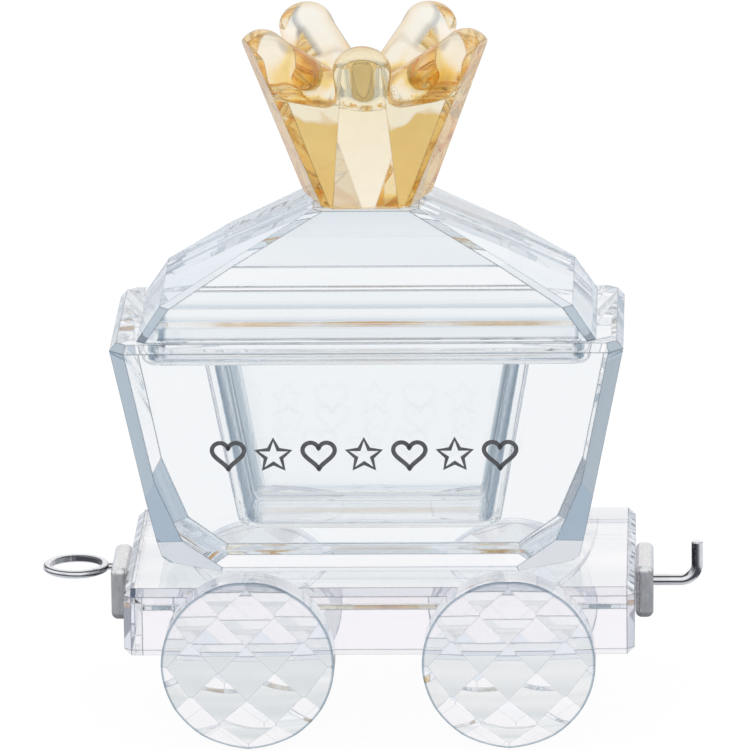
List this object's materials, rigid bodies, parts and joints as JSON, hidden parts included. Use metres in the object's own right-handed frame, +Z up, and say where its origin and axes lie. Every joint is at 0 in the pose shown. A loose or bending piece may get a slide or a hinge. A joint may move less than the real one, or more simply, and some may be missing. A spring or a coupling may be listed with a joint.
{
  "type": "baby tooth box",
  "caption": "Clear crystal railway wagon with a flared tub for a milk tooth and a lift-off faceted lid under a golden crown.",
  "frame": {"origin": "on the ground, under the middle of the whole length with its couplings and of the width", "axes": "+Z up; +X along the wagon from the ring coupling to the hook coupling; -Y is the front"},
  "size_m": [0.0406, 0.0256, 0.0426],
  "materials": {
    "clear_crystal": "polished",
    "golden_crystal": "polished",
    "satin_metal": "satin"
  },
  "bodies": {
    "wagon": {"chassis": "clear_crystal", "wheel_front_left": "clear_crystal", "wheel_front_right": "clear_crystal", "wheel_rear_left": "clear_crystal", "wheel_rear_right": "clear_crystal", "tub": "clear_crystal", "ring_plate": "satin_metal", "coupling_ring": "satin_metal", "hook_plate": "satin_metal", "coupling_hook": "satin_metal"},
    "lid": {"lid": "clear_crystal", "crown": "golden_crystal"}
  },
  "joints": [
    {"name": "lid_lift", "type": "slide", "parent": "wagon", "child": "lid", "axis": [0, 0, 1], "range_m": [0, 0.02]}
  ]
}
